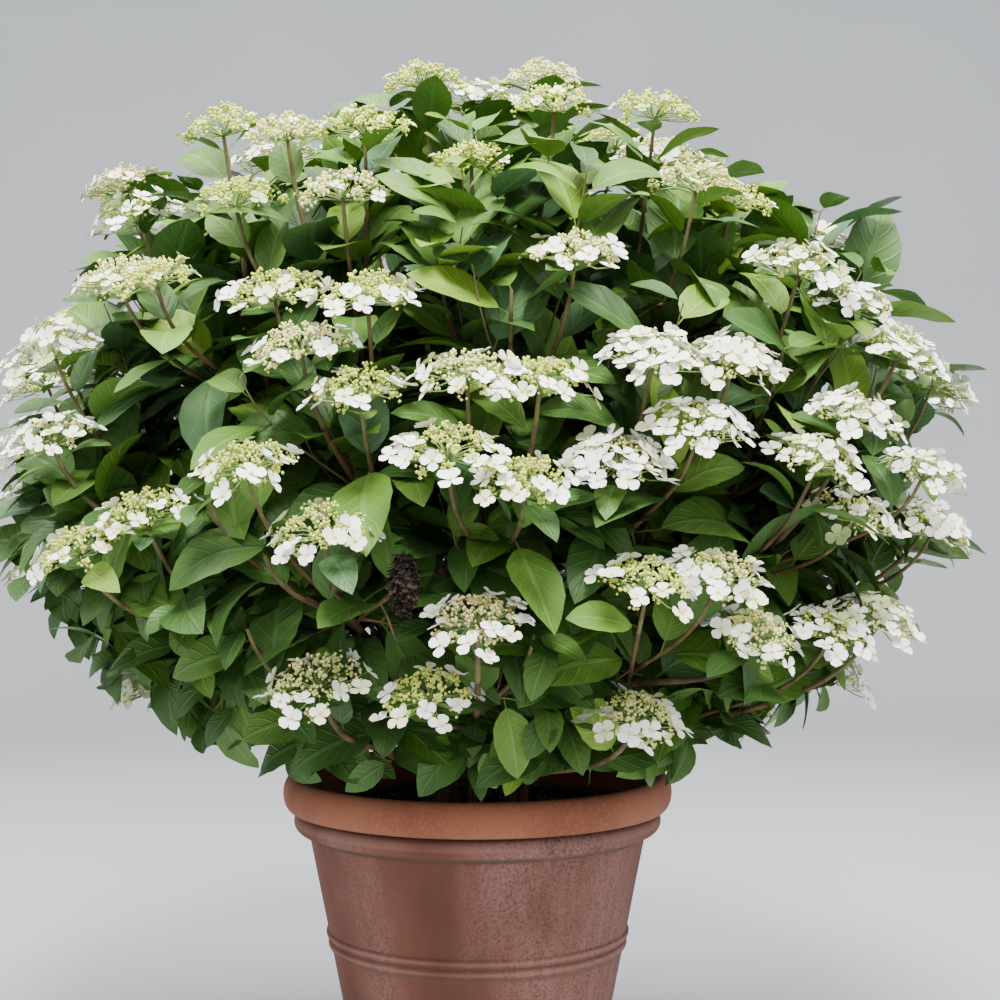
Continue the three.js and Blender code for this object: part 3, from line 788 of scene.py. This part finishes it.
def make_heads(tips, materials, rng):
    """All flower heads: one piece of branchlets, and one for each colour of bud and floret."""
    parts = {"rays": []}
    for colour in ("green", "cream", "tan"):
        parts["buds_" + colour] = []
    for colour in ("white", "cream", "green"):
        parts["florets_" + colour] = []
    for tip in tips:
        if tip["sort"] == "head":
            grow_head(tip, rng, parts)
    rays = np.concatenate(parts.pop("rays"))
    radii = [1.0, 0.8, 0.55]
    add_bars("flower_branchlets", (rays, radii, 3), materials["stalk_green"])
    shapes = np.array([floret_shape(rng) for _ in range(14)])
    for name, rows in parts.items():
        buds = name.startswith("buds")
        made = make_buds(name, rows, rng) if buds else make_florets(name, rows, shapes, rng)
        add_piece(made, materials[name])


def make_dried_head(tip, material, rng):
    """The brown head: a hanging bundle of small curled sepals and stalks round the twig's end.

    Its radius is 0.46 * width * sin(pi * drop)^0.6 at the share `drop` of its length.
    """
    end = tip["crest"]
    count = DRIED["pieces"]
    drop = rng.uniform(0.02, 0.98, count)
    turn = rng.uniform(0, 2 * np.pi, count)
    radius = 0.46 * DRIED["width"] * np.sin(np.pi * np.clip(drop, 0.10, 0.93)) ** 0.6
    radius = radius * rng.uniform(0.55, 1.0, count)
    level = xyz(np.cos(turn), np.sin(turn), 0.0)
    spot = end + radius[:, None] * level - (drop * DRIED["length"] * 0.94)[:, None] * UP
    face = unit(level + rng.normal(0, 0.7, (count, 3)) - 0.3 * UP)
    side, over = square_to(face)
    axes = np.stack([over, side, face], 1)
    sepal = sepal_shape()
    sepal[:, 2] += 0.7 * sepal[:, 0] ** 2 + 0.7 * np.abs(sepal[:, 1])
    size = rng.uniform(2.6, 5.8, count)[:, None, None]
    points = spot[:, None] + np.einsum("ij,njk->nik", sepal, axes) * size
    rays = np.stack([end + 0 * spot, (end + spot) / 2 - UP * 3, spot], 1)
    bars, bar_faces, _ = tubes(rays, [0.8, 0.6, 0.4], 3)
    faces = repeated(grid_faces(*SEPAL_GRID, False), count, len(sepal))
    points = np.concatenate([points.reshape(-1, 3), bars])
    faces = np.concatenate([faces, bar_faces + len(sepal) * count])
    add_piece(mesh_object("dried_head", points, faces), material)


def make_stems(limbs, material, nodes):
    """Stems and boughs: radius = taper * (1 + bark ridges + a swelling at each joint of the stem).

    The ridges are 0.05 * sin(3a + 5t) + 0.03 * sin(7a - 23t), the joints 0.10 * exp(-(d / 5 mm)^2)
    every 70 mm, where a is the angle round the stem, t the share of its length and d the distance.
    """
    stations, sides, joints = STEM["stations"], STEM["sides"], STEM["joints"]
    t = np.linspace(0, 1, stations)
    a = 2 * np.pi * np.arange(sides) / sides
    points, faces, uvs = [], [], []
    for number, (path, foot, tip, flare) in enumerate(limbs):
        centre = path.point(t)
        plain = foot + (tip - foot) * t + flare * np.exp(-t / STEM["flare_ends"])
        ring, quads, uv = tubes(centre[None], 1.0, sides)
        along = t[:, None]
        off = np.abs((along * path.span / joints + 0.37 * number) % 1 - 0.5) * joints
        relief = 0.05 * np.sin(3 * a + 5 * along + number) + 0.03 * np.sin(7 * a - 23 * along)
        relief = relief + 0.10 * np.exp(-((off / STEM["joint"]) ** 2))
        radius = (plain[:, None] * (1 + relief)).reshape(-1, 1)
        middle = np.repeat(centre, sides, 0)
        faces.append(quads + stations * sides * number)
        points.append(middle + (ring - middle) * radius)
        uvs.append(uv)
    points, faces, uvs = (np.concatenate(rows) for rows in (points, faces, uvs))
    add_piece(mesh_object("stems_bark", points, faces, uvs), material, nodes)


def make_twigs(tips, shoots, materials):
    """Twigs in two lengths each: brown from the bough, green near the leaves and the flowers."""
    t = np.linspace(0, 1, 12)
    routes = [(tip["route"], tip["route"].leafy if tip["sort"] == "shoot" else 1) for tip in tips]
    paths = np.array([route.point(t * end) for route, end in routes])
    radii = np.array([np.linspace(*tip["radii"], len(t)) for tip in tips])
    green = materials["stalk_olive"]
    add_bars("twigs_brown", (paths[:, :9], radii[:, :9], 6), materials["stalk_brown"])
    add_bars("twigs_green", (paths[:, 8:], radii[:, 8:], 6), green)
    s = np.linspace(0, 1, 6)
    paths = np.array([shoot.point(s * shoot.leafy) for shoot in shoots if shoot.leafy])
    add_bars("side_shoots", (paths, np.linspace(1.5, 0.9, len(s)), 5), green)


def bump(x):
    """A half circle over -1 to 1: sqrt(1 - x^2), and 0 outside."""
    return np.sqrt(np.clip(1 - x * x, 0, 1))


def pot_profile():
    """The pot's section as [radius, height]: taper, two half-round beads, collar and rolled rim."""
    runs = ((4, 190, 12), (193, 220, 37), (224, 330, 9), (334, 366, 42))
    z = np.concatenate([np.linspace(*run) for run in runs])
    taper = POT["foot"] + (POT["shoulder"] - POT["foot"]) * z / POT["shoulder_z"]
    flare = np.interp(z, [337, 341, 366], [0, 1, 1])
    r = taper * (1 - flare) + COLLAR["groove"] * flare
    for height in BANDS:
        r = r + BAND_PROUD * bump((z - height) / BAND_HALF)
    r = r + COLLAR["proud"] * bump((z - COLLAR["z"]) / COLLAR["half"])
    half = (POT["height"] - RIM["bottom"]) / 2
    wide = (RIM["outer"] - RIM["inner"]) / 2
    a = np.radians(np.linspace(-68, 184, 30))
    rim_r = RIM["inner"] + wide + wide * np.cos(a)
    rim_z = RIM["bottom"] + half + half * np.sin(a)
    mouth = POT["shoulder"] - POT["wall"]
    inner = [[mouth + 12, 366], [mouth + 8, 356], [mouth, 326], [mouth - 60, 30], [0, POT["floor"]]]
    outer_r = np.concatenate([[0, POT["foot"] - 4], r, rim_r])
    outer_z = np.concatenate([[0, 0], z, rim_z])
    return np.concatenate([np.stack([outer_r, outer_z], -1), inner])


def turned(name, profile, sides, wobble):
    """A profile turned about the Z axis, a little out of round by hand.

    The radius is r * (1 + wobble * (sin(2a + z / 90) + 0.6 * sin(5a - z / 40))) at the angle a.
    """
    a = 2 * np.pi * np.arange(sides) / sides
    r, z = profile[:, :1], profile[:, 1:]
    r = r * (1 + wobble * (np.sin(2 * a + z / 90) + 0.6 * np.sin(5 * a - z / 40)))
    points = xyz(r * np.cos(a), r * np.sin(a), z)
    return mesh_object(name, points, grid_faces(len(profile), sides, True))


def make_soil(materials, rng):
    """The compost's top, height - mound * (r / R)^2 + small lumps, with crumbs and specks on it."""
    rings, sides = 26, 72
    share = np.linspace(0, 1, rings)[:, None]
    a = 2 * np.pi * np.arange(sides) / sides
    lumps = 2.2 * np.sin(9 * a + 31 * share) * np.sin(17 * share - 5 * a)
    lumps = lumps + rng.normal(0, 0.8, (rings, sides))
    z = SOIL["height"] - SOIL["mound"] * share**2 + lumps * (share > 0)
    r = SOIL["radius"] * share
    top = xyz(r * np.cos(a), r * np.sin(a), z)[::-1]
    edge = SOIL["radius"] - 3
    skirt = xyz(edge * np.cos(a), edge * np.sin(a), SOIL["skirt"])
    points = np.concatenate([skirt[None], top])
    made = mesh_object("compost", points, grid_faces(rings + 1, sides, True))
    add_piece(made, materials["compost"], ("soil",))
    kinds = (("compost_crumbs", 900, (1.5, 5)), ("compost_specks", 130, (0.8, 2.2)))
    for name, count, size in kinds:
        out = (SOIL["radius"] - 6) * np.sqrt(rng.uniform(0, 1, count))
        turn = rng.uniform(0, 2 * np.pi, count)
        height = SOIL["height"] - SOIL["mound"] * (out / SOIL["radius"]) ** 2 + 1.5
        spot = xyz(out * np.cos(turn), out * np.sin(turn), height)
        body = BEAD[None] * rng.uniform(*size, (count, 6, 1)) * np.array([1, 1, 0.7])
        points = spot[:, None] + body
        faces = repeated(BEAD_FACES, count, 6)
        crumbs = mesh_object(name, points, faces, smooth=False)
        add_piece(crumbs, materials[name])


def make_stage(material):
    """A pale floor that sweeps up into the wall behind: a quarter circle of 1.5 m radius."""
    a = np.linspace(0, np.pi / 2, 16)
    y = np.concatenate([[-7.0], 3.5 + 1.5 * np.sin(a), [5.0]])
    z = np.concatenate([[0.0], 1.5 * (1 - np.cos(a)), [6.0]])
    points = np.array([[x, y[i], z[i]] for i in range(len(y)) for x in (-9.0, 9.0)]) * 1000
    floor = mesh_object("floor", points, grid_faces(len(y), 2, False))
    floor.data.materials.append(material)


def node(tree, kind, inputs=None, **settings):
    """A shader node with its settings and its inputs: numbers, colours or sockets to link."""
    made = tree.nodes.new(kind)
    for key, value in settings.items():
        setattr(made, key, value)
    for key, value in (inputs or {}).items():
        if isinstance(value, bpy.types.NodeSocket):
            tree.links.new(value, made.inputs[key])
        else:
            made.inputs[key].default_value = value
    return made


def sums(tree, operation, a, b=0.0, c=0.0):
    return node(tree, "ShaderNodeMath", {0: a, 1: b, 2: c}, operation=operation).outputs[0]


def ramp(tree, value, low, high, start=0.0, end=1.0):
    """A smooth step of `value` from low to high, running from start to end."""
    inputs = {"Value": value, "From Min": low, "From Max": high, "To Min": start, "To Max": end}
    made = node(tree, "ShaderNodeMapRange", inputs, interpolation_type="SMOOTHSTEP")
    return made.outputs["Result"]


def blend(tree, factor, a, b):
    made = node(tree, "ShaderNodeMix", data_type="RGBA")
    for index, value in ((0, factor), (6, a), (7, b)):
        if isinstance(value, bpy.types.NodeSocket):
            tree.links.new(value, made.inputs[index])
        else:
            made.inputs[index].default_value = value if index == 0 else (*value, 1)
    return made.outputs[2]


def noise(tree, vector, scale, detail=3.0):
    inputs = {"Vector": vector, "Scale": scale, "Detail": detail}
    return node(tree, "ShaderNodeTexNoise", inputs).outputs["Fac"]


def stretched(tree, vector, upright):
    """The same places with their height scaled, for patterns that run up and down."""
    inputs = {"Vector": vector, "Scale": (1.0, 1.0, upright)}
    return node(tree, "ShaderNodeMapping", inputs).outputs["Vector"]


def new_group(name, inputs, outputs):
    """A node group with named float sockets, and one vector input."""
    tree = bpy.data.node_groups.new(name, "ShaderNodeTree")
    tree.interface.new_socket("Vector", in_out="INPUT", socket_type="NodeSocketVector")
    for key, value in inputs.items():
        socket = tree.interface.new_socket(key, in_out="INPUT", socket_type="NodeSocketFloat")
        socket.default_value = value
    for key in outputs:
        tree.interface.new_socket(key, in_out="OUTPUT", socket_type="NodeSocketFloat")
    return tree, tree.nodes.new("NodeGroupInput"), tree.nodes.new("NodeGroupOutput")


def vein_group():
    """Pale lines of a leaf from its UV: the midrib, and side veins that run forward to the edge."""
    tree, entry, leave = new_group("leaf_veins", {"Pairs": 7.0}, ("Veins", "Height"))
    parts = node(tree, "ShaderNodeSeparateXYZ", {"Vector": entry.outputs["Vector"]})
    off = sums(tree, "ABSOLUTE", sums(tree, "MULTIPLY_ADD", parts.outputs["X"], 2.0, -1.0))
    rib = ramp(tree, off, 0.05, 0.15, 1.0, 0.0)
    forward = sums(tree, "MULTIPLY_ADD", off, -0.26, parts.outputs["Y"])
    phase = sums(tree, "FRACT", sums(tree, "MULTIPLY", forward, entry.outputs["Pairs"]))
    gap = sums(tree, "ABSOLUTE", sums(tree, "SUBTRACT", phase, 0.5))
    side = ramp(tree, gap, 0.36, 0.49, 0.0, 0.7)
    side = sums(tree, "MULTIPLY", side, ramp(tree, off, 0.75, 1.0, 1.0, 0.2))
    veins = sums(tree, "MAXIMUM", rib, side)
    puff = sums(tree, "MULTIPLY_ADD", veins, -1.0, 1.0)
    tree.links.new(veins, leave.inputs["Veins"])
    tree.links.new(puff, leave.inputs["Height"])
    return tree


def mottle_group():
    """Two sizes of soft patches, 0 to 1."""
    tree, entry, leave = new_group("mottle", {"Scale": 20.0}, ("Patches", "Grain"))
    scale = entry.outputs["Scale"]
    coarse = noise(tree, entry.outputs["Vector"], scale)
    fine = noise(tree, entry.outputs["Vector"], sums(tree, "MULTIPLY", scale, 9.0), 2.0)
    tree.links.new(ramp(tree, coarse, 0.35, 0.65), leave.inputs["Patches"])
    tree.links.new(fine, leave.inputs["Grain"])
    return tree


def new_material(name, roughness):
    """A material with its tree, its shader and its texture coordinates."""
    made = bpy.data.materials.new(name)
    made.use_nodes = True
    tree = made.node_tree
    shader = tree.nodes["Principled BSDF"]
    shader.inputs["Roughness"].default_value = roughness
    places = tree.nodes.new("ShaderNodeTexCoord")
    return made, tree, shader, places


def coat(tree, shader, colour, height, distance, strength):
    """The surface's colour, and its bump of a height signal over a distance in metres."""
    tree.links.new(colour, shader.inputs["Base Color"])
    inputs = {"Height": height, "Distance": distance, "Strength": strength}
    bumps = node(tree, "ShaderNodeBump", inputs)
    tree.links.new(bumps.outputs["Normal"], shader.inputs["Normal"])


def patches(tree, places, groups, scale):
    """The patch group in object space at the given scale."""
    inputs = {"Vector": places.outputs["Object"], "Scale": scale}
    return node(tree, "ShaderNodeGroup", inputs, node_tree=groups[1])


def toned(tree, dark, light):
    """A colour between two by each leaf's or floret's own tone."""
    tone = node(tree, "ShaderNodeAttribute", attribute_name="tone").outputs["Fac"]
    return blend(tree, tone, dark, light)


def leaf_material(name, dark, light, vein, groups, roughness):
    """A leaf green with darker patches, pale veins and a face raised between them."""
    made, tree, shader, places = new_material(name, roughness)
    veins = node(tree, "ShaderNodeGroup", node_tree=groups[0])
    tree.links.new(places.outputs["UV"], veins.inputs["Vector"])
    mottle = patches(tree, places, groups, 26.0)
    base = toned(tree, dark, light)
    shade = tuple(0.72 * c for c in dark)
    base = blend(tree, sums(tree, "MULTIPLY", mottle.outputs["Patches"], 0.45), base, shade)
    base = blend(tree, sums(tree, "MULTIPLY", veins.outputs["Veins"], 0.42), base, vein)
    shader.inputs["Specular IOR Level"].default_value = 0.24
    coat(tree, shader, base, veins.outputs["Height"], 0.0012, 0.7)
    return made


def petal_material(name, dark, light, base_tint, groups):
    """A pale sepal that turns to the tint of its base, with a fine grain."""
    made, tree, shader, places = new_material(name, 0.55)
    parts = node(tree, "ShaderNodeSeparateXYZ", {"Vector": places.outputs["UV"]})
    heart = ramp(tree, parts.outputs["Y"], 0.02, 0.4, 0.75, 0.0)
    colour = blend(tree, heart, toned(tree, dark, light), base_tint)
    mottle = patches(tree, places, groups, 60.0)
    coat(tree, shader, colour, mottle.outputs["Grain"], 0.0006, 0.35)
    return made


def plain_material(name, dark, light, groups, scale, roughness):
    """Patches between two colours in object space, with a fine grain."""
    made, tree, shader, places = new_material(name, roughness)
    shader.inputs["Specular IOR Level"].default_value = 0.28
    mottle = patches(tree, places, groups, scale)
    colour = blend(tree, mottle.outputs["Patches"], dark, light)
    coat(tree, shader, colour, mottle.outputs["Grain"], 0.0008, 0.5)
    return made


def bark_material():
    """Red-brown bark with long darker streaks and pale specks."""
    made, tree, shader, places = new_material("bark_relief", 0.72)
    long_way = stretched(tree, places.outputs["Object"], 0.14)
    streaks = ramp(tree, noise(tree, long_way, 160.0), 0.4, 0.62)
    colour = blend(tree, streaks, (0.055, 0.026, 0.016), (0.15, 0.075, 0.045))
    specks = ramp(tree, noise(tree, places.outputs["Object"], 420.0, 1.0), 0.66, 0.72, 0.0, 0.6)
    colour = blend(tree, specks, colour, (0.30, 0.22, 0.16))
    coat(tree, shader, colour, streaks, 0.001, 0.8)
    return made


def terracotta_material():
    """Fired clay, orange at the rim and pinkish below, with pale bloom, dark streaks and specks.

    Painted shade darkens the groove under the collar, the joint under the rim, the gap between the
    two bands and the underside of the lower band; painted highlights lighten the crests of the
    collar and of both bands. The clay is darker towards the foot.
    """
    made, tree, shader, places = new_material("terracotta_weathered_painted_shading", 0.88)
    place = places.outputs["Object"]
    z = node(tree, "ShaderNodeSeparateXYZ", {"Vector": place}).outputs["Z"]
    tall = stretched(tree, place, 0.45)
    run = stretched(tree, place, 0.05)
    clouds = ramp(tree, noise(tree, tall, 9.0, 5.0), 0.36, 0.66)
    streaks = noise(tree, run, 90.0, 3.0)
    grain = noise(tree, place, 300.0, 4.0)
    body = blend(tree, clouds, (0.092, 0.027, 0.015), (0.152, 0.049, 0.029))
    salty = ramp(tree, noise(tree, tall, 5.5, 6.0), 0.44, 0.66)
    faint = ramp(tree, streaks, 0.3, 0.7, 0.0, 0.35)
    speckled = sums(tree, "MULTIPLY_ADD", ramp(tree, grain, 0.36, 0.60), 0.65, faint)
    bloom = sums(tree, "MULTIPLY", sums(tree, "MULTIPLY", salty, speckled), 0.8)
    body = blend(tree, bloom, body, (0.265, 0.145, 0.122))
    body = blend(tree, ramp(tree, streaks, 0.58, 0.78, 0.0, 0.28), body, (0.085, 0.032, 0.020))
    rim = blend(tree, clouds, (0.190, 0.052, 0.020), (0.275, 0.092, 0.042))
    rim = blend(tree, ramp(tree, grain, 0.50, 0.66, 0.0, 0.35), rim, (0.30, 0.150, 0.105))
    colour = blend(tree, ramp(tree, z, 0.364, 0.368), body, rim)
    # Colour by height: painted shade and painted highlights at the grooves, beads and rim, and a
    # darker foot.
    for middle, half, tint, share in (
        # painted shade in the groove under the collar and under the rim
        (0.3390, 0.006, (0.060, 0.034, 0.020), 0.85),
        (0.3665, 0.004, (0.070, 0.038, 0.022), 0.85),
        # painted highlight on the collar's crest
        (0.3560, 0.007, (0.290, 0.150, 0.110), 0.45),
        # painted shade between the two bands and under the lower one
        (0.2065, 0.0035, (0.13, 0.06, 0.04), 0.6),
        (0.1925, 0.005, (0.12, 0.06, 0.04), 0.5),
        # painted highlights on the crests of the two bands
        (0.2005, 0.003, (0.30, 0.15, 0.11), 0.4),
        (0.2135, 0.003, (0.30, 0.15, 0.11), 0.4),
        # darker towards the foot
        (0.0, 0.05, (0.11, 0.07, 0.045), 0.5),
    ):
        off = sums(tree, "ABSOLUTE", sums(tree, "SUBTRACT", z, middle))
        near = ramp(tree, off, 0.3 * half, half, share, 0.0)
        patchy = sums(tree, "MULTIPLY", near, ramp(tree, clouds, -0.8, 1.0))
        colour = blend(tree, patchy, colour, tint)
    colour = blend(tree, ramp(tree, grain, 0.62, 0.74, 0.0, 0.35), colour, (0.12, 0.06, 0.04))
    rough = sums(tree, "MULTIPLY_ADD", grain, 0.6, sums(tree, "MULTIPLY", streaks, 0.5))
    coat(tree, shader, colour, rough, 0.0012, 0.45)
    return made


def make_materials():
    """Every colour and finish by name; most have a dark and a light end."""
    groups = (vein_group(), mottle_group())
    made = {}
    for name, dark, light, vein, roughness in (
        ("mid", (0.062, 0.142, 0.021), (0.100, 0.200, 0.031), (0.15, 0.26, 0.07), 0.46),
        ("fresh", (0.078, 0.168, 0.020), (0.122, 0.234, 0.030), (0.18, 0.30, 0.07), 0.48),
        # The next row is a darker green that paints shade on leaves low down and inside the crown.
        ("deep", (0.038, 0.095, 0.018), (0.068, 0.146, 0.028), (0.09, 0.18, 0.048), 0.44),
        # The next row is a bright green that paints light on leaves at the top of the crown.
        ("lit", (0.122, 0.230, 0.018), (0.192, 0.310, 0.030), (0.25, 0.37, 0.08), 0.48),
        # The next row is a bluish green that paints the sky's reflection on outer leaves.
        ("blue", (0.046, 0.112, 0.038), (0.072, 0.152, 0.053), (0.12, 0.20, 0.085), 0.42),
        # The next row is lighter than mid and paints light into the shade inside the crown.
        ("inner", (0.070, 0.148, 0.027), (0.110, 0.205, 0.041), (0.13, 0.23, 0.06), 0.55),
    ):
        made["leaf_" + name] = leaf_material("leaf_" + name, dark, light, vein, groups, roughness)
    for name, dark, light, tint in (
        ("florets_white", (0.80, 0.79, 0.70), (0.92, 0.91, 0.86), (0.66, 0.70, 0.42)),
        ("florets_cream", (0.72, 0.70, 0.45), (0.84, 0.82, 0.60), (0.55, 0.60, 0.27)),
        ("florets_green", (0.42, 0.52, 0.20), (0.62, 0.68, 0.36), (0.36, 0.46, 0.14)),
    ):
        made[name] = petal_material(name, dark, light, tint, groups)
    for name, dark, light in (
        ("buds_green", (0.47, 0.55, 0.075), (0.68, 0.71, 0.17)),
        ("buds_cream", (0.60, 0.61, 0.18), (0.80, 0.78, 0.34)),
        ("buds_tan", (0.50, 0.41, 0.15), (0.71, 0.61, 0.28)),
        ("stalk_green", (0.13, 0.20, 0.055), (0.24, 0.32, 0.10)),
        ("stalk_olive", (0.080, 0.058, 0.026), (0.145, 0.125, 0.048)),
        ("stalk_brown", (0.056, 0.034, 0.013), (0.115, 0.072, 0.026)),
        ("dried", (0.018, 0.011, 0.008), (0.060, 0.036, 0.024)),
        ("compost", (0.010, 0.007, 0.005), (0.030, 0.021, 0.014)),
        ("compost_crumbs", (0.014, 0.010, 0.007), (0.045, 0.030, 0.019)),
        ("compost_specks", (0.30, 0.27, 0.22), (0.55, 0.52, 0.45)),
        ("stage", (0.36, 0.37, 0.38), (0.40, 0.41, 0.42)),
    ):
        scale = 0.5 if name == "stage" else 40.0
        made[name] = plain_material(name, dark, light, groups, scale, 0.8)
    made["bark"] = bark_material()
    made["terracotta"] = terracotta_material()
    return made


def main():
    place_camera()
    place_lights()
    materials = make_materials()
    rng = np.random.default_rng(SEED)
    masses, tips = make_masses()
    limbs = grow_limbs(masses)
    grow_twigs(masses)
    shoots = []
    for layer in LAYERS:
        shoots += grow_side_shoots(tips, layer, rng)
    nodes = list(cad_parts)
    limb_nodes = [name for name in nodes if name.startswith(("stem_", "bough_"))]
    foliage_nodes = [name for name in nodes if name.startswith("foliage_")]
    make_stems(limbs, materials["bark"], limb_nodes)
    root, run, normal, length = grow_leaves(tips, shoots, rng)
    make_twigs(tips, shoots, materials)
    names = leaf_colours(root, run, length, rng)
    make_leaves(root, run, normal, length, names, materials, rng, foliage_nodes)
    make_heads(tips, materials, rng)
    for tip in tips:
        if tip["sort"] == "dried":
            make_dried_head(tip, materials["dried"], rng)
    pot = turned("terracotta_pot", pot_profile(), 144, 0.0012)
    add_piece(pot, materials["terracotta"], ("pot",))
    make_soil(materials, rng)
    make_stage(materials["stage"])


main()
